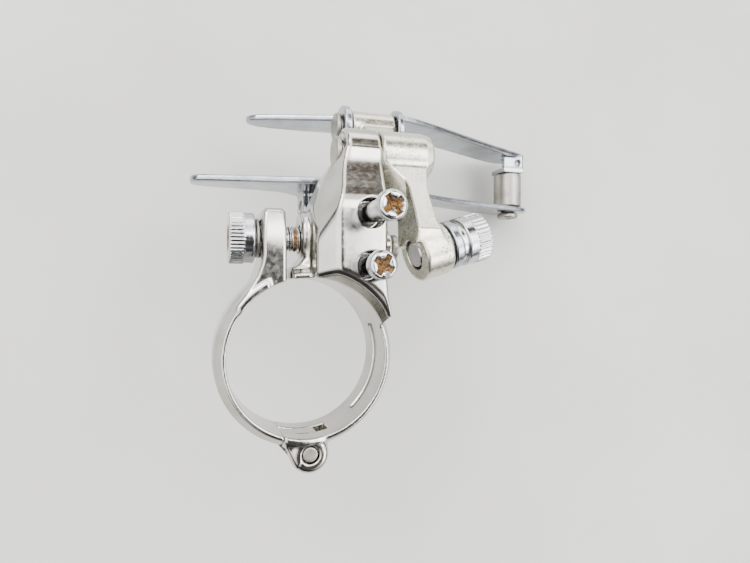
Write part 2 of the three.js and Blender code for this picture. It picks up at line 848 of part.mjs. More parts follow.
place('tail_screw', tailScrew(), 'steel');

export default derailleur;
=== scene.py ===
"""The looks of a clamp-on bicycle front derailleur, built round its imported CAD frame.

Every piece is drawn as a signed distance in millimetres, meshed on a fine grid and given a
procedural metal. Places come from the frame's joints, so each piece sits where its CAD node does.
"""

import json
import math

import bpy
import numpy as np
from mathutils import Matrix, Vector


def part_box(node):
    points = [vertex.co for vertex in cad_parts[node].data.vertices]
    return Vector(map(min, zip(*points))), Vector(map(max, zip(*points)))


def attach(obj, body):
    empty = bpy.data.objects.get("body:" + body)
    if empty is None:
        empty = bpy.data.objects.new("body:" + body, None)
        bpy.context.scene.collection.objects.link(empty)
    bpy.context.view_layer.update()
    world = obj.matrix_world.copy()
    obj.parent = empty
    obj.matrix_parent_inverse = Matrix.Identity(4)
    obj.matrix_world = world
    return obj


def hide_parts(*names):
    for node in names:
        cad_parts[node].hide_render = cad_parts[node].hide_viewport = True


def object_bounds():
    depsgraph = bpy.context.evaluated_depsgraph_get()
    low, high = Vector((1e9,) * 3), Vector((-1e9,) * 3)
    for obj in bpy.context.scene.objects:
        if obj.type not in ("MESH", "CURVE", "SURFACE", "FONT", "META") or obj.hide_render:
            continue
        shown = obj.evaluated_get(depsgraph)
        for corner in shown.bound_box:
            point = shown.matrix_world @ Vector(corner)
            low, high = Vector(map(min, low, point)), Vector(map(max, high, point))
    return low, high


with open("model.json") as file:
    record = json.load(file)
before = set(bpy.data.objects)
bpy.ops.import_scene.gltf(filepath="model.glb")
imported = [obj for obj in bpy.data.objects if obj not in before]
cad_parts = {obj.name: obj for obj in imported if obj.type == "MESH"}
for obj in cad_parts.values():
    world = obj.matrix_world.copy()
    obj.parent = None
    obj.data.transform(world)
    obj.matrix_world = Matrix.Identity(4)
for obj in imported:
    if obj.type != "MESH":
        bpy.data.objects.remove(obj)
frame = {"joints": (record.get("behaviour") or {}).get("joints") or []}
cad_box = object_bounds()

MM = 0.001
joints = {joint["name"]: joint for joint in frame["joints"]}


def pivot(name):
    """A joint's place at rest, in millimetres."""
    return np.array(joints[name]["pos_m"]) / MM


# ---------------------------------------------------------------- driving dimensions (mm)

PIVOT_A = pivot("outer_link_swing")
PIVOT_B = pivot("inner_link_swing")
PIVOT_C = pivot("cage_swing")
PIVOT_D = PIVOT_B + PIVOT_C - PIVOT_A
HINGE = pivot("clamp_arm_open")
BOLT = pivot("clamp_bolt_travel")
SCREW_HIGH = pivot("limit_screw_high_turn")
SCREW_LOW = pivot("limit_screw_low_turn")
ANCHOR_ALONG = np.array(joints["cable_washer_travel"]["axis"])
ANCHOR_LENGTH = 5.9
ANCHOR = pivot("cable_washer_travel") - (ANCHOR_LENGTH + 1.4) * ANCHOR_ALONG

# Radii, thicknesses and faces.
BORE = 14.3
BAND_HALF = 6
PIN_HOLE = 2.3
THREAD_HOLE = 2.7
SHEET = 1.4
INNER_FACE = 34
OUTER_FACE = 49.4
TAIL = (67.6, -38.6)
# Grid steps of the meshes.
FINE = 0.13
MEDIUM = 0.22
COARSE = 0.3
TURNED = 0.16


# ---------------------------------------------------------------- signed distances

def length(*parts):
    return np.sqrt(sum(part * part for part in parts))


def disc(u, v, centre, radius):
    return length(u - centre[0], v - centre[1]) - radius


def polygon(u, v, points):
    """Distance to a closed polygon, negative inside it."""
    nearest = np.full(np.broadcast(u, v).shape, 1e9)
    inside = np.zeros(nearest.shape, bool)
    for (u0, v0), (u1, v1) in zip(points, points[1:] + points[:1]):
        run, rise = u1 - u0, v1 - v0
        du, dv = u - u0, v - v0
        along = np.clip((du * run + dv * rise) / (run * run + rise * rise), 0, 1)
        nearest = np.minimum(nearest, (du - along * run) ** 2 + (dv - along * rise) ** 2)
        if rise:
            inside ^= ((v0 <= v) != (v1 <= v)) & (du < run * dv / rise)
    return np.where(inside, -1, 1) * np.sqrt(nearest)


def rounded(points, steps=6):
    """A smooth closed outline through a few points, as a Catmull-Rom spline."""
    outline = []
    count = len(points)
    for i in range(count):
        before, start, end, after = (np.array(points[(i + k - 1) % count], float) for k in range(4))
        for step in range(steps):
            t = step / steps
            outline.append(tuple(0.5 * (
                2 * start + (end - before) * t
                + (2 * before - 5 * start + 4 * end - after) * t * t
                + (3 * start - before - 3 * end + after) * t ** 3
            )))
    return outline


def slab(outline, w, low, high, edge=0.3):
    """A flat outline's distance pushed from low to high along w, with rounded edges."""
    across = outline + edge
    through = np.abs(w - (low + high) / 2) - (high - low) / 2 + edge
    outside = length(np.maximum(across, 0), np.maximum(through, 0))
    return np.minimum(np.maximum(across, through), 0) + outside - edge


def union(a, b, soft=0.3):
    share = np.clip(0.5 + 0.5 * (b - a) / soft, 0, 1)
    return b + (a - b) * share - soft * share * (1 - share)


def common(a, b, soft=0.3):
    return -union(-a, -b, soft)


def cut(a, b, soft=0.25):
    return -union(-a, b, soft)


def all_of(shapes, soft=0.3):
    whole = shapes[0]
    for shape in shapes[1:]:
        whole = union(whole, shape, soft)
    return whole


def profile(points):
    """A turned profile of (along, radius) points, closed along its axis, as a distance function."""
    closed = points + [(points[-1][0], -1), (points[0][0], -1)]
    return lambda along, radius: polygon(along, radius, closed)


def rod(radius, low, high, edge=0.25):
    return lambda along, r: slab(r - radius, along, low, high, edge)


# ---------------------------------------------------------------- meshing

CORNERS = [(i, j, k) for i in (0, 1) for j in (0, 1) for k in (0, 1)]


def cell_points(field, index):
    """Where the surface crosses each cell, as the mean of its edge crossings."""
    values = np.stack([field[index[0] + i, index[1] + j, index[2] + k] for i, j, k in CORNERS], 1)
    total = np.zeros((len(values), 3))
    hits = np.zeros((len(values), 1))
    for a, start in enumerate(CORNERS):
        for b, end in enumerate(CORNERS):
            step = np.subtract(end, start)
            if step.sum() == 1 and np.abs(step).sum() == 1:
                crossed = (values[:, a] < 0) != (values[:, b] < 0)
                spread = np.where(crossed, values[:, a] - values[:, b], 1)
                share = (values[:, a] / spread)[:, None]
                total += np.where(crossed[:, None], start + share * step, 0)
                hits += crossed[:, None]
    return total / hits


def surface_quads(solid, number):
    """Four cells round every grid edge that crosses the surface, wound to face out."""
    quads = []
    for axis in range(3):
        side, up = (axis + 1) % 3, (axis + 2) % 3
        near = [slice(1, -1)] * 3
        far = [slice(1, -1)] * 3
        near[axis], far[axis] = slice(None, -1), slice(1, None)
        start, end = solid[tuple(near)], solid[tuple(far)]
        place = np.array(np.nonzero(start != end))
        leaving = start[tuple(place)]
        place[side] += 1
        place[up] += 1
        ring = []
        for back_side, back_up in ((1, 1), (0, 1), (0, 0), (1, 0)):
            cell = place.copy()
            cell[side] -= back_side
            cell[up] -= back_up
            ring.append(number[tuple(cell)])
        ring = np.array(ring).T
        quads.append(np.where(leaving[:, None], ring, ring[:, ::-1]))
    return np.concatenate(quads)


def settle(shape, points, voxel, rounds=2):
    """Moves points onto the exact surface, down the distance's slope."""
    reach = voxel * 0.25
    for _ in range(rounds):
        x, y, z = points.T
        slope = np.stack([
            shape(x + reach, y, z) - shape(x - reach, y, z),
            shape(x, y + reach, z) - shape(x, y - reach, z),
            shape(x, y, z + reach) - shape(x, y, z - reach),
        ], 1) / (2 * reach)
        steep = np.maximum((slope ** 2).sum(1), 0.1)
        move = -slope * (shape(x, y, z) / steep)[:, None]
        far = np.maximum(np.linalg.norm(move, axis=1), 1e-9)
        points = points + move * np.minimum(1, 0.5 * voxel / far)[:, None]
    return points


def skin(shape, low, high, voxel):
    """The surface of a distance function inside a box, as points and quads."""
    axes = [np.arange(lo - 2 * voxel, hi + 3 * voxel, voxel) for lo, hi in zip(low, high)]
    x, y, z = axes[0][:, None, None], axes[1][None, :, None], axes[2][None, None, :]
    field = np.broadcast_to(shape(x, y, z), [len(axis) for axis in axes]).astype(np.float32)
    solid = field < 0
    cells = [n - 1 for n in field.shape]
    filled = np.zeros(cells, np.int8)
    for i, j, k in CORNERS:
        filled += solid[i:i + cells[0], j:j + cells[1], k:k + cells[2]]
    index = np.nonzero((filled > 0) & (filled < 8))
    number = np.full(cells, -1, np.int32)
    number[index] = np.arange(len(index[0]))
    points = (cell_points(field, index) + np.array(index).T) * voxel + [axis[0] for axis in axes]
    return settle(shape, points, voxel), surface_quads(solid, number)


def carve(node, body, shape, material, voxel=MEDIUM, marks=None):
    """Meshes a distance function in the room of its CAD node, which it replaces."""
    voxel = voxel
    low, high = (np.array(corner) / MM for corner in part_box(node))
    points, quads = skin(shape, low, high, voxel)
    mesh = bpy.data.meshes.new(node + "_surface")
    mesh.from_pydata((points * MM).tolist(), [], quads.tolist())
    if marks is not None:
        mark = mesh.attributes.new("marks", "FLOAT", "POINT")
        mark.data.foreach_set("value", marks(*points.T).astype(np.float32))
    mesh.shade_smooth()
    mesh.materials.append(material)
    piece = bpy.data.objects.new(node + "_finish", mesh)
    bpy.context.scene.collection.objects.link(piece)
    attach(piece, body)
    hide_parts(node)
    return piece


# ---------------------------------------------------------------- materials

class Nodes:
    """A material's node tree with short calls for what the metals share."""

    def __init__(self, name):
        self.material = bpy.data.materials.new(name)
        self.material.use_nodes = True
        self.tree = self.material.node_tree
        self.shader = self.tree.nodes["Principled BSDF"]
        self.place = self.add("ShaderNodeTexCoord").outputs["Object"]

    def add(self, kind, **settings):
        node = self.tree.nodes.new(kind)
        for key, value in settings.items():
            setattr(node, key, value)
        return node

    def link(self, start, end):
        self.tree.links.new(start, end)

    def noise(self, grain, detail=3.0, stretch=(1, 1, 1)):
        """Noise whose grain is in millimetres, drawn out along the object's axes."""
        mapping = self.add("ShaderNodeMapping")
        mapping.inputs["Scale"].default_value = stretch
        texture = self.add("ShaderNodeTexNoise")
        texture.inputs["Scale"].default_value = 1 / (grain * MM)
        texture.inputs["Detail"].default_value = detail
        self.link(self.place, mapping.inputs["Vector"])
        self.link(mapping.outputs["Vector"], texture.inputs["Vector"])
        return texture.outputs["Fac"]

    def ramp(self, source, stops):
        """A colour ramp, as (position, colour or grey) stops."""
        node = self.add("ShaderNodeValToRGB")
        elements = node.color_ramp.elements
        while len(elements) < len(stops):
            elements.new(0.5)
        for element, (position, colour) in zip(elements, stops):
            element.position = position
            element.color = (*colour, 1) if isinstance(colour, tuple) else (colour, colour, colour, 1)
        self.link(source, node.inputs["Fac"])
        return node.outputs["Color"]

    def mix(self, share, first, second):
        node = self.add("ShaderNodeMix", data_type="RGBA")
        self.link(share, node.inputs[0])
        for source, socket in ((first, node.inputs[6]), (second, node.inputs[7])):
            if isinstance(source, tuple):
                socket.default_value = (*source, 1)
            else:
                self.link(source, socket)
        return node.outputs[2]

    def bump(self, height, distance, strength, after=None):
        node = self.add("ShaderNodeBump")
        node.inputs["Distance"].default_value = distance * MM
        node.inputs["Strength"].default_value = strength
        self.link(height, node.inputs["Height"])
        if after is not None:
            self.link(after, node.inputs["Normal"])
        return node.outputs["Normal"]

    def marks(self):
        return self.add("ShaderNodeAttribute", attribute_name="marks").outputs["Fac"]

    def edges(self, low, high):
        """A pointiness mask: white on flat faces and convex edges, black in hollows, where it paints shade.
        """
        return self.ramp(self.add("ShaderNodeNewGeometry").outputs["Pointiness"], [(low, 0.0), (high, 1.0)])

    def finish(self, colour, roughness, normal, metallic=1.0):
        self.link(colour, self.shader.inputs["Base Color"])
        self.link(roughness, self.shader.inputs["Roughness"])
        self.link(normal, self.shader.inputs["Normal"])
        self.shader.inputs["Metallic"].default_value = metallic
        return self.material


def metal(name, bright, dull, rough, pit, scratch, grain=(1, 1, 1), metallic=1.0):
    """Bare metal: cloudy colour with painted shade in its hollows, uneven gloss, fine pits and drawn
    scratches.
    """
    nodes = Nodes(name)
    cloud = nodes.noise(5.0, 4.0)
    colour = nodes.mix(nodes.ramp(cloud, [(0.35, 0.0), (0.65, 1.0)]), dull, bright)
    # Painted shade: the colour drops to under half of the dull tone in hollows, where occlusion would darken
    # it.
    painted_hollow_shade = nodes.edges(0.40, 0.49)
    colour = nodes.mix(painted_hollow_shade, tuple(0.45 * c for c in dull), colour)
    gloss = nodes.ramp(nodes.noise(0.9, 5.0, grain), [(0.3, rough[0]), (0.7, rough[1])])
    fine = nodes.bump(nodes.ramp(nodes.noise(0.22, 2.0), [(0.25, 0.0), (0.5, 1.0)]), 0.02, pit)
    drawn = nodes.bump(nodes.noise(0.35, 3.0, grain), 0.01, scratch, fine)
    return nodes.finish(colour, gloss, drawn, metallic)


def rusty(name, bright, dull, rough, reach=(0.5, 0.74)):
    """Plated metal with orange-brown rust where the piece's marks say that it gathers."""
    nodes = Nodes(name)
    marks = nodes.marks()
    blotch = nodes.noise(0.7, 5.0)
    spread = nodes.add("ShaderNodeMath", operation="MULTIPLY")
    nodes.link(marks, spread.inputs[0])
    lift = nodes.add("ShaderNodeMath", operation="ADD")
    nodes.link(blotch, lift.inputs[0])
    lift.inputs[1].default_value = 0.35
    nodes.link(lift.outputs[0], spread.inputs[1])
    rust = nodes.ramp(spread.outputs[0], [(reach[0], 0.0), (reach[1], 1.0)])
    tint = nodes.ramp(nodes.noise(0.35, 4.0), [(0.38, (0.02, 0.01, 0.005)), (0.5, (0.13, 0.055, 0.012)),
                                               (0.66, (0.32, 0.18, 0.045))])
    cloud = nodes.ramp(nodes.noise(3.0, 4.0), [(0.35, 0.0), (0.65, 1.0)])
    plate = nodes.mix(cloud, dull, bright)
    colour = nodes.mix(rust, plate, tint)
    plate_gloss = nodes.ramp(nodes.noise(0.8, 4.0), [(0.3, rough[0]), (0.7, rough[1])])
    gloss = nodes.mix(rust, plate_gloss, (0.85, 0.85, 0.85))
    shine = nodes.mix(rust, (1.0, 1.0, 1.0), (0.1, 0.1, 0.1))
    nodes.link(shine, nodes.shader.inputs["Metallic"])
    crust = nodes.bump(nodes.noise(0.2, 4.0), 0.06, 0.35)
    nodes.link(colour, nodes.shader.inputs["Base Color"])
    nodes.link(gloss, nodes.shader.inputs["Roughness"])
    nodes.link(crust, nodes.shader.inputs["Normal"])
    return nodes.material


def speckled(name, bright, dull, rough):
    """Clear-lacquered aluminium, creamy, with black specks where the lacquer has chipped."""
    nodes = Nodes(name)
    cloud = nodes.ramp(nodes.noise(4.0, 4.0), [(0.35, 0.0), (0.65, 1.0)])
    colour = nodes.mix(cloud, dull, bright)
    spots = nodes.ramp(nodes.noise(0.45, 2.0), [(0.62, 0.0), (0.67, 1.0)])
    patch = nodes.marks()
    chips = nodes.add("ShaderNodeMath", operation="MULTIPLY")
    nodes.link(spots, chips.inputs[0])
    nodes.link(patch, chips.inputs[1])
    colour = nodes.mix(chips.outputs[0], colour, (0.05, 0.045, 0.04))
    gloss = nodes.ramp(nodes.noise(0.8, 4.0), [(0.3, rough[0]), (0.7, rough[1])])
    fine = nodes.bump(nodes.ramp(nodes.noise(0.25, 2.0), [(0.25, 0.0), (0.5, 1.0)]), 0.02, 0.3)
    dents = nodes.bump(chips.outputs[0], 0.05, 0.4, fine)
    nodes.shader.inputs["Coat Weight"].default_value = 0.35
    nodes.shader.inputs["Coat Roughness"].default_value = 0.15
    return nodes.finish(colour, gloss, dents, 0.9)


polished = metal("polished_aluminium", (0.50, 0.49, 0.455), (0.40, 0.39, 0.35), (0.11, 0.22), 0.1, 0.12,
                 (1, 1, 4))
lacquered = speckled("lacquered_aluminium", (0.58, 0.565, 0.49), (0.48, 0.46, 0.38), (0.16, 0.32))
chrome = metal("chrome_plate", (0.42, 0.44, 0.475), (0.28, 0.295, 0.33), (0.10, 0.24), 0.4, 0.3, (0.3, 3, 3))
bolt_plate = rusty("bolt_plate", (0.58, 0.59, 0.61), (0.42, 0.42, 0.44), (0.06, 0.16))
zinc = metal("dull_zinc", (0.40, 0.385, 0.345), (0.26, 0.245, 0.21), (0.30, 0.48), 0.4, 0.5, (5, 1, 1))
spring_wire = metal("spring_wire", (0.50, 0.50, 0.50), (0.32, 0.32, 0.33), (0.22, 0.4), 0.3, 0.4)


# ---------------------------------------------------------------- band and castings

BAND_PROFILE = [(BORE, -6), (15.1, -6), (15.3, -5.3), (15.9, -4.4), (15.9, -3.9), (16.4, -3.2),
                (16.4, 3.2), (15.9, 3.9), (15.9, 4.4), (15.3, 5.3), (15.1, 6), (BORE, 6)]
HINGE_BOSS = 3.5
SEAM = -4.1
HINGE_HOLE = 1.65
KNUCKLE = 2
SPLIT = KNUCKLE + 0.15
NECK = -2.6


def band(x, y, z):
    return polygon(length(x, y), z, BAND_PROFILE) - 0.02


def hinge_barrel(x, y, z, low, high, edge):
    return slab(disc(x, y, HINGE, HINGE_BOSS), z, low, high, edge)


def hinge_web(x, y, z, low, high):
    """The neck that carries a hinge barrel from the band's end."""
    outline = polygon(x, y, [(SEAM, -13.6), (SEAM, -15.6), (HINGE[0] - 2.4, -19.4), (HINGE[0], -15)])
    return slab(outline, z, low, high, 0.4)


def fixed_band(x, y, z):
    arc = common(band(x, y, z), polygon(x, y, [(SEAM, -8), (SEAM, -30), (30, -30), (30, 30), (NECK, 30),
                                               (NECK, 8), (6, 0)]), 0.2)
    barrel = hinge_barrel(x, y, z, -BAND_HALF, BAND_HALF, 1.3)
    barrel = union(barrel, hinge_web(x, y, z, -BAND_HALF, BAND_HALF), 0.8)
    whole = union(arc, barrel, 1.2)
    room = slab(polygon(x, y, [(SEAM - 1, -10), (SEAM - 1, -30), (HINGE[0], -30), (HINGE[0], -10)]), z,
                -SPLIT, SPLIT, 0.05)
    room = np.minimum(room, slab(disc(x, y, HINGE, HINGE_BOSS + 0.3), z, -SPLIT, SPLIT, 0.05))
    whole = cut(whole, room, 0.1)
    groove = slab(length(x, y) - BORE - 0.45, z, -1.6, 1.6, 0.2)
    groove = common(groove, polygon(x, y, [(8, -11), (22, -11), (22, 8), (8, 8)]), 0.5)
    window = slab(polygon(x, y, [(0.4, -16), (4.5, -16), (4.5, -12), (0.4, -12)]), z, -SPLIT, SPLIT, 0.3)
    return cut(cut(whole, groove, 0.3), window, 0.15)


def flank(x, y, z):
    """The casting's left side: an upright wall under a sloping panel, then a steep plane toward pivot A."""
    turned = 0.935 * (x - 1.2) - 0.355 * (y - 27.5)
    panel = -0.6 * (x - 4.3) + 0.8 * (z - 11)
    near = common(panel, 0.7 - x + 0 * z, 0.5)
    far = common(-0.9 * turned + 0.436 * (z - 4.6), -turned, 0.4)
    return common(near + 0 * y, far, 0.6)


def casting_block(x, y, z):
    plan = polygon(x, y, [(0.7, 12), (0.7, 29), (3.3, 33.4), (5.7, 36.4), (6.7, 39.6), (6.7, 44),
                          (13.3, 44), (13.3, 14), (13.6, 10.4), (14.3, 7.5), (13.3, 5.7), (4, 6)])
    side = polygon(y, z, [(5, -6), (23.8, -6), (25.4, -4.6), (28, -4), (34.6, -1.2), (PIVOT_A[1], -1.4),
                          (PIVOT_A[1], 7.5), (36.4, 7.75), (34.8, 8.2), (33.2, 8.8), (31.6, 9.5),
                          (30.2, 10.15), (29, 10.6), (27.8, 10.9), (26.6, 11), (5, 11)])
    return common(common(plan, side, 0.9), flank(x, y, z), 0.45)


def body_casting(x, y, z):
    radius = length(x, y)
    facet = (radius - 14.4 - 0.55 * (z - 8.2)) / 1.14
    whole = cut(casting_block(x, y, z), facet, 1.0)
    knuckle = slab(disc(y, z, PIVOT_A[1:], 4.6), x, 6.7, 13.3, 0.8)
    whole = union(whole, knuckle, 1.2)
    _, by, bz = PIVOT_B
    lug = slab(polygon(y, z, [(by - 3, -5), (by - 3, bz - 1), (by - 1.4, -11.5), (by + 1.4, -11.5),
                              (by + 3, bz - 1), (by + 3, -4.2)]), x, 8.3, 13.3, 0.4)
    boss = slab(disc(y, z, (22.5, 0), 4.3), x, -0.8, 3, 0.7)
    foot = slab(polygon(y, z, [(15.5, -4), (22.5, -4), (22.5, 3.4), (15.5, 3.4)]), x, -0.3, 3, 0.8)
    neck = slab(polygon(x, y, [(NECK, 12), (NECK, 15.2), (-0.6, 17.6), (1.6, 18.5), (3, 18.5), (3, 12)]), z,
                -BAND_HALF, 3.4, 0.6)
    whole = union(whole, lug, 0.8)
    whole = all_of([whole, boss, foot, neck, fixed_band(x, y, z)], 0.9)
    whole = cut(whole, radius - BORE, 0.15)
    whole = cut(whole, slab(disc(y, z, BOLT[1:], THREAD_HOLE), x, -9, 7, 0.1), 0.3)
    for centre in (PIVOT_A, PIVOT_B):
        whole = cut(whole, disc(y, z, centre[1:], PIN_HOLE) + 0 * x, 0.15)
    whole = cut(whole, slab(disc(y, z, PIVOT_A[1:], 3.2), x, 3, 6.7, 0.1), 0.2)
    whole = cut(whole, slab(disc(y, z, PIVOT_B[1:], 3.9), x, 4, 8.3, 0.1), 0.15)
    for centre in (SCREW_HIGH, SCREW_LOW):
        shaft = disc(x, y, centre, 2.15) + 0 * z
        mouth = slab(disc(x, y, centre, 2.7), z, 7, 15, 0.1)
        whole = cut(whole, np.minimum(shaft, mouth), 0.2)
    return cut(whole, disc(x, y, HINGE, HINGE_HOLE) + 0 * z, 0.2)


def clamp_arm(x, y, z):
    arc = common(band(x, y, z), polygon(x, y, [(SEAM - 0.3, -10), (SEAM - 0.3, -30), (-30, -30), (-30, 24),
                                               (-10, 24), (-6, 8)]), 0.2)
    outline = polygon(x, y, [(-3.9, 12), (-3.9, 26.1), (-4.6, 26.8), (-7.4, 26.8), (-8, 26.2), (-8, 18.4),
                             (-8.3, 16.8), (-9.1, 14.6), (-10.6, 12.1), (-12.8, 9.2), (-11.4, 7.8)])
    upright = slab(outline, z, -BAND_HALF, BAND_HALF, 0.5)
    crown = ((z - 6) + 0.28 * (y - 23.2)) / 1.04
    upright = common(upright, crown, 1.2)
    tongue = slab(polygon(x, y, [(SEAM - 1.5, -13.8), (SEAM - 1.5, -15.2), (HINGE[0] - 2.4, -19.4),
                                 (HINGE[0], -14.6)]), z, -KNUCKLE, KNUCKLE, 0.2)
    tongue = union(tongue, hinge_barrel(x, y, z, -KNUCKLE, KNUCKLE, 0.25), 0.4)
    whole = union(union(arc, upright, 1.0), tongue, 0.4)
    whole = cut(whole, length(x, y) - BORE, 0.2)
    slot = slab(polygon(y, z, [(BOLT[1] - 3.4, -2.9), (BOLT[1] + 3.4, -2.9), (BOLT[1] + 3.4, 2.9),
                               (BOLT[1] - 3.4, 2.9)]), x, -12, 0, 0.1)
    whole = cut(whole, slot, 0.2)
    return cut(whole, disc(x, y, HINGE, HINGE_HOLE) + 0 * z, 0.15)


# ---------------------------------------------------------------- links

def along_anchor(x, y, z):
    """Coordinates on the cable bolt's axis: along it, and out from it."""
    along = sum(c * (p - o) for c, p, o in zip(ANCHOR_ALONG, (x, y, z), ANCHOR))
    square = (x - ANCHOR[0]) ** 2 + (y - ANCHOR[1]) ** 2 + (z - ANCHOR[2]) ** 2 - along ** 2
    return along, np.sqrt(np.maximum(square, 1e-9))


def outer_link(x, y, z):
    _, ay, az = PIVOT_A
    _, cy, cz = PIVOT_C
    hub = profile([(13.6, 4.3), (13.9, 4.6), (22.4, 4.6), (23.7, 4.2), (24.5, 3.1), (24.8, 1.5)])
    whole = hub(x + 0 * y, length(y - ay, z - az))
    tube = slab(disc(y, z, (cy, cz), 3.66), x, 12.7, 22.2, 0.35)
    web = slab(polygon(y, z, [(ay + 3.2, az - 2.4), (ay - 3.2, az - 1.6), (cy - 3.2, cz - 1.6),
                              (cy + 2.6, cz - 1)]), x, 14.8, 21.8, 0.6)
    whole = union(union(whole, tube, 0.8), web, 1.0)
    arm_side = polygon(y, z, [(ay + 1.3, az + 3.4), (ay - 1.8, az + 3.9), (22.9, 15.2), (20.6, 15.3),
                              (18, 13.8), (16, 12), (17, 6.8), (25, 4.2), (ay - 3.2, az - 1.5),
                              (ay + 1, az - 2)])
    lean = x - 0.9 * np.clip((y - 25) / 6, 0, 1) * np.minimum(z - 9, 0)
    left = polygon(lean, y, [(14.4, 42), (14.8, 37.6), (16.6, 34.4), (17.5, 31), (17.5, 26), (16.9, 20),
                             (40, 20), (40, 42)])
    right = polygon(x, y, [(0, 42), (0, 20), (22.6, 20), (21.3, 24.6), (21.2, 30.6), (22.1, 34.2),
                           (23.6, 36.8), (24.2, 42)])
    arm = common(common(arm_side + 0 * x, left, 0.5), right + 0 * z, 0.5)
    arm = common(arm, 13.75 - x + 0 * arm, 0.3)
    whole = union(whole, arm, 1.0)
    along, radius = along_anchor(x, y, z)
    whole = union(whole, rod(4.9, 0, ANCHOR_LENGTH, 0.6)(along, radius), 0.8)
    whole = cut(whole, slab(disc(y, z, (ay, az), PIN_HOLE), x, 0, 23.9, 0.1), 0.1)
    whole = cut(whole, disc(y, z, (cy, cz), PIN_HOLE) + 0 * x, 0.1)
    return cut(whole, radius - THREAD_HOLE, 0.25)


def chipped(x, y, z):
    """Where the lacquer has chipped: round the hub, and at the cable boss."""
    hub = np.exp(-(length(x - 18, y - PIVOT_A[1], z - 8) / 4.5) ** 2)
    along, radius = along_anchor(x, y, z)
    boss = np.exp(-(length(along - 4.4, radius - 5) / 2.2) ** 2)
    return np.clip(hub + boss, 0, 1)


def inner_link(x, y, z):
    _, by, bz = PIVOT_B
    _, dy, dz = PIVOT_D
    my, mz = (by + dy) / 2, (bz + dz) / 2
    arm = polygon(y, z, [(by + 3, bz + 1.6), (by - 3, bz - 1.6), (my - 2.2, mz - 1.2), (dy - 3, dz - 1.6),
                         (dy + 3, dz + 1.6), (my + 2.2, mz + 1.2)])
    cheek = union(union(arm, disc(y, z, (by, bz), 3.4), 0.6), disc(y, z, (dy, dz), 3.4), 0.6)
    rocker = polygon(y, z, [(by - 6.8, bz), (by - 6.8, bz + 2), (by - 4, bz + 2), (by, bz + 3.3),
                            (by + 3.9, bz), (by + 6.1, bz), (by + 6.1, bz - 2), (by, bz - 3.3)])
    front = slab(union(cheek, rocker, 0.8), x, 6, 8, 0.35)
    rear = slab(cheek, x, 17.9, 19.9, 0.35)
    low_stop = polygon(y, z, [(by - 6.8, bz), (by - 6.8, bz + 2), (by - 4, bz + 2), (by - 4, bz)])
    high_stop = polygon(y, z, [(by + 3.9, bz - 2), (by + 3.9, bz), (by + 6.1, bz), (by + 6.1, bz - 2)])
    stops = slab(np.minimum(low_stop, high_stop), x, 7, 12.2, 0.25)
    bar = slab(disc(y, z, (my, mz), 1.9), x, 7, 19, 0.2)
    whole = all_of([front, rear, stops, bar], 0.5)
    for centre in ((by, bz), (dy, dz)):
        whole = cut(whole, disc(y, z, centre, PIN_HOLE) + 0 * x, 0.15)
    return whole


# ---------------------------------------------------------------- chain cage

BRIDGE_TOP = -18.8
RIVETS = (15.6, 21.2)


def plate_ear(x, y, z, centre, low, high, face, radius):
    reach = polygon(y, z, [(centre[1], centre[2] + radius), (centre[1], centre[2] - radius),
                           (face, centre[2] - radius), (face, centre[2] + 0.8 * radius)])
    return slab(union(disc(y, z, centre[1:], radius), reach, 0.2), x, low, high, 0.35)


def tail_hole(x, z):
    return disc(x, z, TAIL, 1.95)


def rivet_holes(x, z):
    return np.minimum(*(disc(x, z, (at, BRIDGE_TOP - 3.6), 1.35) for at in RIVETS))


def cage_outer_plate(x, y, z):
    outline = rounded([(-8.2, -24.4), (-6.4, -21.2), (2, -18.4), (8.4, -16.7), (10.6, -15.6), (12, -11.4),
                       (19, -10.2), (26, -12), (34, -15.8), (45, -21.9), (56, -28.1), (66, -33.4),
                       (71.6, -36.6), (73.2, -40.4), (70.6, -44.4), (64, -44.2), (50, -36.8), (38, -30.4),
                       (28, -26.8), (16, -26.8), (4, -27.4), (-5, -26.9)], 3)
    face = slab(polygon(x, z, outline), y, OUTER_FACE, OUTER_FACE + SHEET, 0.45)
    whole = face
    for low, high in ((10.7, 12.4), (22.5, 24.1)):
        whole = union(whole, plate_ear(x, y, z, PIVOT_C, low, high, OUTER_FACE + 0.7, 4.6), 0.8)
    notch = slab(polygon(x, z, [(12.4, -17.3), (22.5, -17.3), (22.5, 0), (12.4, 0)]), y, OUTER_FACE - 6,
                 OUTER_FACE + 4, 0.4)
    fold = slab(polygon(x, z, [(64.4, -36.4), (64.4, -35), (70.6, -35), (70.6, -36.4)]), y,
                45, OUTER_FACE + 0.7, 0.3)
    drop = slab(polygon(x, z, [(64.4, -42.2), (64.4, -35), (70.6, -35), (70.6, -42.2)]), y, 45, 46.4, 0.4)
    whole = cut(whole, notch, 0.3)
    whole = all_of([whole, fold, drop], 0.5)
    whole = cut(whole, disc(y, z, PIVOT_C[1:], PIN_HOLE) + 0 * x, 0.1)
    whole = cut(whole, disc(x, y, (68.9, 47.8), 0.8) + 0 * z, 0.15)
    return cut(whole, np.minimum(tail_hole(x, z), rivet_holes(x, z)) + 0 * y, 0.1)


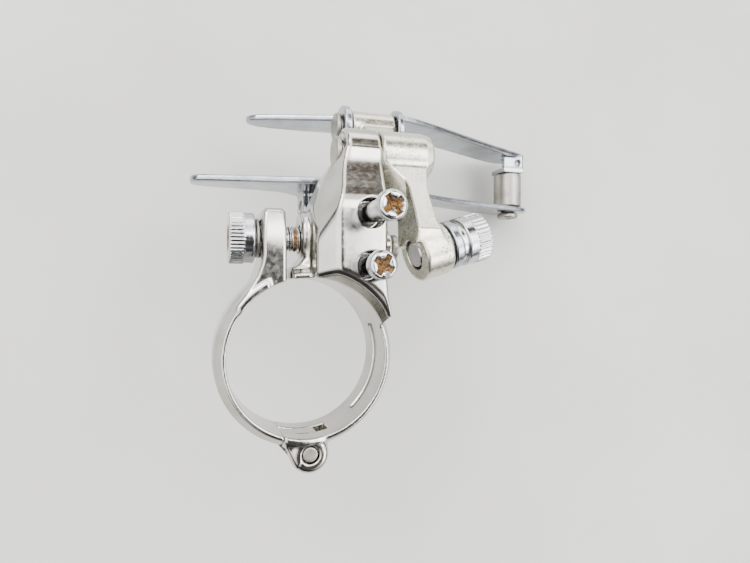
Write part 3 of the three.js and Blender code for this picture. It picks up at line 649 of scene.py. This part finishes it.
def cage_inner_plate(x, y, z):
    outline = rounded([(-20.2, -16.8), (-18.8, -13.6), (-12, -12), (-4, -10.8), (4, -9.2), (13, -9.8),
                       (24, -15.2), (36, -22.2), (47, -27.6), (58, -31.8), (68, -34.8), (73, -37.4),
                       (73.4, -41.8), (68.4, -46), (60, -43.2), (50, -38.4), (38, -33), (24, -29.2),
                       (12, -28.8), (4, -28), (-0.6, -23.4), (-10, -21.4), (-18.6, -20)], 3)
    whole = slab(polygon(x, z, outline), y, INNER_FACE, INNER_FACE + SHEET, 0.45)
    for low, high in ((4.2, 5.7), (20.2, 21.7)):
        whole = union(whole, plate_ear(x, y, z, PIVOT_D, low, high, INNER_FACE + 0.7, 3.9), 0.8)
    roof = slab(polygon(x, z, [(13.2, BRIDGE_TOP - SHEET), (13.2, BRIDGE_TOP), (23.6, BRIDGE_TOP),
                               (23.6, BRIDGE_TOP - SHEET)]), y, INNER_FACE + 0.3, OUTER_FACE - 0.3, 0.3)
    tab = slab(polygon(x, z, [(13.2, BRIDGE_TOP - 6), (13.2, BRIDGE_TOP), (23.6, BRIDGE_TOP),
                              (23.6, BRIDGE_TOP - 6)]), y, OUTER_FACE - 0.3 - SHEET, OUTER_FACE - 0.3, 0.4)
    whole = all_of([whole, roof, tab], 0.6)
    whole = cut(whole, disc(y, z, PIVOT_D[1:], PIN_HOLE) + 0 * x, 0.1)
    return cut(whole, np.minimum(tail_hole(x, z), rivet_holes(x, z)) + 0 * y, 0.1)


# ---------------------------------------------------------------- fasteners

def knurled(along, radius, angle, low, high, reach, teeth=34, depth=0.26):
    """A ring of straight ridges whose ends are chamfered."""
    ridge = depth * (0.5 - 0.5 * np.cos(teeth * angle))
    return slab(radius - reach + ridge, along, low, high, 0.25)


def threaded(along, radius, angle, reach, pitch, depth=0.32):
    """A right-handed thread, as a groove that winds along the shank."""
    turn = along / pitch - angle / (2 * math.pi)
    return radius - reach + depth * np.abs(2 * (turn - np.floor(turn)) - 1)


def hex_socket(u, v, along, reach, low, high):
    sides = [np.cos(k * math.pi / 3) * u + np.sin(k * math.pi / 3) * v for k in range(3)]
    flat = np.maximum(np.maximum(np.abs(sides[0]), np.abs(sides[1])), np.abs(sides[2])) - reach
    return slab(flat, along, low, high, 0.05)


def clamp_bolt(x, y, z):
    u, v = y - BOLT[1], z - BOLT[2]
    radius, angle = length(u, v), np.arctan2(v, u)
    seat = -9.1
    smooth = rod(4.6, -11.4, seat, 0.4)(x, radius)
    teeth = knurled(x, radius, angle, -13.6, -10.9, 4.7, 44, 0.22)
    crown = slab(radius - 3.9, x, -13.6, -10, 0.3)
    head = union(union(smooth, teeth, 0.1), crown, 0.1)
    shank = common(threaded(x, radius, angle, 2.42, 0.8), slab(radius - 2.5, x, -10, 6.4, 0.5), 0.1)
    return cut(union(head, shank, 0.2), hex_socket(u, v, x, 2.0, -15, -10.4), 0.15)


def clamp_bolt_rust(x, y, z):
    radius = length(y - BOLT[1], z - BOLT[2])
    socket = (radius < 2.5) & (x < -9.5)
    thread = np.exp(-((x + 1.7) / 0.55) ** 2) * (radius < 3)
    return np.clip(socket * 1.0 + thread * 1.1, 0, 1)


def ring(inner, outer, low, high, edge=0.15):
    middle, half = (inner + outer) / 2, (outer - inner) / 2
    return lambda along, radius: slab(np.abs(radius - middle) - half, along, low, high, edge)


def about_x(section, centre):
    """A turned section about an axis along X through a place."""
    return lambda x, y, z: section(x, length(y - centre[1], z - centre[2]))


def about_y(section, x0, z0):
    return lambda x, y, z: section(y, length(x - x0, z - z0))


def limit_screw(centre, top, tip, angle_turned):
    """A cross-head screw standing in its hole."""
    def shape(x, y, z):
        u, v = x - centre[0], y - centre[1]
        radius, angle = length(u, v), np.arctan2(v, u)
        head = slab(radius - 2.55, z, top - 2.7, top, 0.8)
        neck = slab(radius - 2.2, z, top - 3.5, top - 2, 0.3)
        plain = slab(radius - 1.85, z, 8, top - 2, 0.2)
        thread = common(threaded(z, radius, angle, 1.87, 0.7, 0.26), slab(radius - 2, z, tip, 9, 0.5), 0.1)
        whole = all_of([head, neck, plain, thread], 0.25)
        cos, sin = math.cos(angle_turned), math.sin(angle_turned)
        turned_u, turned_v = cos * u + sin * v, cos * v - sin * u
        arms = np.minimum(
            np.maximum(np.abs(turned_u) - 1.85, np.abs(turned_v) - 0.5),
            np.maximum(np.abs(turned_v) - 1.85, np.abs(turned_u) - 0.5),
        )
        arms = np.maximum(arms, top - 1.6 + 0.5 * radius - z)
        dimple = (radius - 1.25 + 0.9 * (top - z)) / 1.35
        return cut(whole, union(arms, dimple, 0.15), 0.25)
    return shape


def limit_screw_rust(centre, top, spill):
    """Rust in the cross recess, with a patch spilling over the head's edge."""
    def marks(x, y, z):
        radius = length(x - centre[0], y - centre[1])
        recess = np.clip((top - 0.25 - z) / 0.4, 0, 1) * (radius < 1.9) * (z > top - 2.4)
        streak = np.exp(-((x - centre[0] - spill[0]) / 0.9) ** 2 - ((y - centre[1] - spill[1]) / 1.1) ** 2)
        return np.clip(recess + 0.9 * streak * (z > top - 1.5), 0, 1)
    return marks


def cable_bolt(x, y, z):
    along, radius = along_anchor(x, y, z)
    up = np.array([0, 0, 1.0]) - ANCHOR_ALONG[2] * ANCHOR_ALONG
    up /= np.linalg.norm(up)
    side = np.cross(up, ANCHOR_ALONG)
    u = sum(c * (p - o) for c, p, o in zip(side, (x, y, z), ANCHOR))
    v = sum(c * (p - o) for c, p, o in zip(up, (x, y, z), ANCHOR))
    angle = np.arctan2(v, u)
    seat = ANCHOR_LENGTH + 2.5
    collar = slab(radius - 3.9, along, seat, seat + 1.4, 0.15)
    smooth = slab(radius - 4.5, along, seat + 1, seat + 3.2, 0.3)
    teeth = knurled(along, radius, angle, seat + 2.8, seat + 6, 4.6)
    crown = slab(radius - 3.9, along, seat + 2, seat + 6, 0.3)
    head = all_of([collar, smooth, teeth, crown], 0.1)
    shank = common(threaded(along, radius, angle, 2.42, 0.8), slab(radius - 2.5, along, 0.1, 12, 0.5), 0.1)
    return cut(union(head, shank, 0.2), hex_socket(u, v, along, 2.0, seat + 2.8, 30), 0.15)


def cable_bolt_rust(x, y, z):
    along, radius = along_anchor(x, y, z)
    return np.clip((radius < 2.6) * (along > 11) * 0.8 + 0.45 * (along < 0.7), 0, 1)


def cable_washer(x, y, z):
    along, radius = along_anchor(x, y, z)
    return ring(THREAD_HOLE, 4.5, ANCHOR_LENGTH + 0.6, ANCHOR_LENGTH + 2.2, 0.25)(along, radius)


def headed_pin(head_low, head_high, end, head=3.0, groove=None):
    """A pin with a low-domed head, and a clip groove near its end where it has one."""
    low, high = min(head_low, head_high), max(head_low, head_high)

    def section(along, radius):
        dome = slab(radius - head, along, low, high, 0.45)
        first, last = min(high, end), max(low, end)
        shank = slab(radius - 2, along, first, last, 0.3)
        whole = union(dome, shank, 0.15)
        if groove is not None:
            whole = cut(whole, ring(1.4, 4, groove - 0.5, groove + 0.5, 0.05)(along, radius), 0.1)
        return whole
    return section


def band_hinge_pin(x, y, z):
    return rod(1.4, -5.7, 5.7, 0.3)(z, length(x - HINGE[0], y - HINGE[1]))


def pivot_clip(centre, at):
    def shape(x, y, z):
        ring_part = ring(1.65, 2.7, at - 0.3, at + 0.3, 0.12)(x, length(y - centre[1], z - centre[2]))
        mouth = np.maximum(np.abs(y - centre[1]) - 0.9, z - centre[2])
        return cut(ring_part, mouth, 0.2)
    return shape


def rivet(along, radius):
    outside, inside = OUTER_FACE + SHEET + 0.25, OUTER_FACE - 0.3 - SHEET - 0.25
    heads = np.minimum(slab(radius - 1.8, along, outside, outside + 0.7, 0.34),
                       slab(radius - 1.8, along, inside - 0.7, inside, 0.34))
    return union(heads, slab(radius - 1.1, along, inside - 0.3, outside + 0.3, 0.1), 0.1)


def tail_screw(along, radius):
    seat = INNER_FACE - 0.25
    head = slab(radius - 2.9, along, seat - 1.6, seat, 0.7)
    shank = slab(radius - 1.7, along, seat - 0.5, 47.3, 0.3)
    socket = slab(radius - 1.1, along, seat - 3, seat - 0.8, 0.1)
    return cut(union(head, shank, 0.1), socket, 0.15)


def spring_path(t):
    """The return spring's line for t from 0 to 1: a leg, two and a half turns round pin B, and a leg."""
    coil, turns, start, end, leg = 3.1, 2.5, 14.95, 17.25, 0.12
    angle = math.pi / 2 + np.clip((t - leg) / (1 - 2 * leg), 0, 1) * turns * 2 * math.pi
    x = start + np.clip((t - leg) / (1 - 2 * leg), 0, 1) * (end - start)
    y = PIVOT_B[1] + coil * math.cos(angle)
    z = PIVOT_B[2] + coil * math.sin(angle)
    y -= max(0, 1 - t / leg) * 4.6
    y += max(0, (t - 1 + leg) / leg) * 6
    return Vector((x, y, z)) * MM


def return_spring():
    """The coil as a round wire swept along its line."""
    curve = bpy.data.curves.new("return_spring_wire", "CURVE")
    curve.dimensions = "3D"
    curve.bevel_depth = 0.44 * MM
    curve.bevel_resolution = 4
    curve.use_fill_caps = True
    steps = 220
    spline = curve.splines.new("POLY")
    spline.points.add(steps)
    for i in range(steps + 1):
        spline.points[i].co = (*spring_path(i / steps), 1)
    wire = bpy.data.objects.new("return_spring_line", curve)
    bpy.context.scene.collection.objects.link(wire)
    mesh = bpy.data.meshes.new_from_object(wire.evaluated_get(bpy.context.evaluated_depsgraph_get()))
    bpy.data.objects.remove(wire)
    mesh.shade_smooth()
    mesh.materials.clear()
    mesh.materials.append(spring_wire)
    piece = bpy.data.objects.new("return_spring_finish", mesh)
    bpy.context.scene.collection.objects.link(piece)
    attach(piece, "base")
    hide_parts("return_spring")


# ---------------------------------------------------------------- assembly

def build_pieces():
    carve("body_casting", "base", body_casting, polished)
    carve("clamp_arm", "clamp_arm", clamp_arm, polished)
    carve("outer_link", "outer_link", outer_link, lacquered, marks=chipped)
    carve("inner_link", "inner_link", inner_link, polished, COARSE)
    carve("cage_outer_plate", "cage", cage_outer_plate, chrome, COARSE)
    carve("cage_inner_plate", "cage", cage_inner_plate, chrome, COARSE)
    carve("clamp_bolt", "clamp_bolt", clamp_bolt, bolt_plate, FINE, clamp_bolt_rust)
    carve("cable_bolt", "cable_bolt", cable_bolt, bolt_plate, FINE, cable_bolt_rust)
    carve("cable_washer", "cable_washer", cable_washer, chrome, FINE)
    screws = [
        ("high", SCREW_HIGH, 22, -4.8, 0.6, (1.3, -0.2)),
        ("low", SCREW_LOW, 17.4, -6.2, 1.0, (0.6, -1.6)),
    ]
    for name, centre, top, tip, angle, spill in screws:
        node = "limit_screw_" + name
        carve(node, node, limit_screw(centre, top, tip, angle), bolt_plate, FINE,
              limit_screw_rust(centre, top, spill))
    turned = [
        ("clamp_washer", "clamp_washer", about_x(ring(THREAD_HOLE, 3.6, -8.8, -8.3), BOLT)),
        ("band_hinge_pin", "base", band_hinge_pin),
        ("pivot_pin_a", "base", about_x(headed_pin(5.2, 6.4, 23.6), PIVOT_A)),
        ("pivot_pin_b", "base", about_x(headed_pin(20.2, 21.8, 4.3, 2.7, 5.2), PIVOT_B)),
        ("pivot_clip_b", "base", pivot_clip(PIVOT_B, 5.2)),
        ("pivot_pin_c", "cage", about_x(headed_pin(9.3, 10.4, 24), PIVOT_C)),
        ("pivot_pin_d", "cage", about_x(headed_pin(22, 23.2, 4.5, 2.7), PIVOT_D)),
        ("bridge_rivet_front", "cage", about_y(rivet, RIVETS[0], BRIDGE_TOP - 3.6)),
        ("bridge_rivet_rear", "cage", about_y(rivet, RIVETS[1], BRIDGE_TOP - 3.6)),
        ("tail_spacer", "cage", about_y(ring(1.95, 3.9, 35.65, 44.75, 0.3), *TAIL)),
        ("tail_screw", "cage", about_y(tail_screw, *TAIL)),
    ]
    for node, body, shape in turned:
        carve(node, body, shape, zinc, TURNED)
    return_spring()


# ---------------------------------------------------------------- stage, light and camera

TABLE_GAP = 0.4
TABLE_HALF_METRES = 1.5


def floor():
    """A plain pale table top, just under the lowest point of the part."""
    low = cad_box[0][2] - TABLE_GAP * MM
    mesh = bpy.data.meshes.new("table_top")
    half = TABLE_HALF_METRES
    mesh.from_pydata([(-half, -half, low), (half, -half, low), (half, half, low), (-half, half, low)], [],
                     [(0, 1, 2, 3)])
    table = bpy.data.objects.new("table_top", mesh)
    bpy.context.scene.collection.objects.link(table)
    nodes = Nodes("pale_table")
    colour = nodes.ramp(nodes.noise(60.0, 3.0), [(0.35, (0.48, 0.477, 0.460)), (0.65, (0.515, 0.512, 0.498))])
    rough = nodes.ramp(nodes.noise(3.0, 3.0), [(0.3, 0.55), (0.7, 0.7)])
    nodes.finish(colour, rough, nodes.bump(nodes.noise(0.8, 3.0), 0.05, 0.1), 0.0)
    mesh.materials.append(nodes.material)


# The room's colour by height: dim walls low down, then a bright ceiling.
ROOM = [(0.0, (0.07, 0.065, 0.06)), (0.15, (0.14, 0.125, 0.11)), (0.30, (1.8, 1.8, 1.76)),
        (0.55, (3.4, 3.4, 3.35)), (1.0, (4.0, 4.0, 3.95))]
# Patches of the room, each as a direction, the angles in degrees within which it is full and
# beyond which it is gone, and a colour: a ceiling lamp, the bright far wall, someone leaning
# over, something dark held overhead, a brown shelf and the dim near wall.
SHADES = [
    ((0.33, 0.15, 0.94), (16, 23), (10.0, 10.0, 9.9)),
    ((0.35, 0.93, 0.12), (25, 38), (4.5, 4.5, 4.4)),
    ((0.22, -0.42, 0.88), (17, 24), (0.10, 0.08, 0.075)),
    ((0.09, 0.0, 1.0), (10, 15), (0.04, 0.04, 0.045)),
    ((0.36, 0.74, 0.57), (10, 17), (0.14, 0.10, 0.08)),
    ((-0.2, -0.9, 0.25), (30, 60), (0.05, 0.05, 0.055)),
]
ROOM_STRENGTH = 1.15


def sky():
    """A soft room round the table, with the patches of SHADES laid over its ROOM colours."""
    world = bpy.data.worlds.new("soft_room")
    bpy.context.scene.world = world
    world.use_nodes = True
    tree = world.node_tree
    place = tree.nodes.new("ShaderNodeTexCoord").outputs["Generated"]
    split = tree.nodes.new("ShaderNodeSeparateXYZ")
    tree.links.new(place, split.inputs[0])

    def ramp(source, stops):
        node = tree.nodes.new("ShaderNodeValToRGB")
        elements = node.color_ramp.elements
        while len(elements) < len(stops):
            elements.new(0.5)
        for element, (position, colour) in zip(elements, stops):
            element.position = position
            element.color = (*colour, 1)
        tree.links.new(source, node.inputs["Fac"])
        return node.outputs["Color"]

    colour = ramp(split.outputs["Z"], ROOM)
    for centre, radius, tint in SHADES:
        toward = tree.nodes.new("ShaderNodeVectorMath")
        toward.operation = "DOT_PRODUCT"
        toward.inputs[1].default_value = Vector(centre).normalized()
        tree.links.new(place, toward.inputs[0])
        outer, inner = math.cos(math.radians(radius[1])), math.cos(math.radians(radius[0]))
        share = ramp(toward.outputs["Value"], [(outer, (0, 0, 0)), (inner, (1, 1, 1))])
        mix = tree.nodes.new("ShaderNodeMix")
        mix.data_type = "RGBA"
        tree.links.new(share, mix.inputs[0])
        tree.links.new(colour, mix.inputs[6])
        mix.inputs[7].default_value = (*tint, 1)
        colour = mix.outputs[2]
    tree.links.new(colour, tree.nodes["Background"].inputs["Color"])
    tree.nodes["Background"].inputs["Strength"].default_value = ROOM_STRENGTH


def softbox(name, place, size, power):
    light = bpy.data.lights.new(name, "AREA")
    light.shape = "RECTANGLE"
    light.size, light.size_y = size
    light.energy = power
    lamp = bpy.data.objects.new(name, light)
    lamp.location = place
    lamp.rotation_euler = (-Vector(place)).to_track_quat("-Z", "Y").to_euler()
    bpy.context.scene.collection.objects.link(lamp)


def lights():
    softbox("window_light", (-0.35, 0.45, 0.5), (0.35, 0.35), 4.0)
    softbox("room_light", (0.5, -0.25, 0.45), (0.3, 0.2), 1.5)


CAMERA_PLACE = Vector((-0.0203, 0.01329, 0.10511))
CAMERA_BACK = Vector((-0.3132, -0.0039, 0.9497)).normalized()
LENS_MM = 27.07
SENSOR_MM = 36


def camera():
    """Close above the band, leaning 18 degrees to the front of the bicycle."""
    view = bpy.data.cameras.new("view")
    view.lens = LENS_MM
    view.sensor_width = SENSOR_MM
    view.clip_start = 0.005
    right = Vector((0, 1, 0)).cross(CAMERA_BACK).normalized()
    up = CAMERA_BACK.cross(right)
    eye = bpy.data.objects.new("view", view)
    turn = Matrix((right, up, CAMERA_BACK)).transposed().to_4x4()
    eye.matrix_world = Matrix.Translation(CAMERA_PLACE) @ turn
    bpy.context.scene.collection.objects.link(eye)
    bpy.context.scene.camera = eye


build_pieces()
floor()
sky()
lights()
camera()
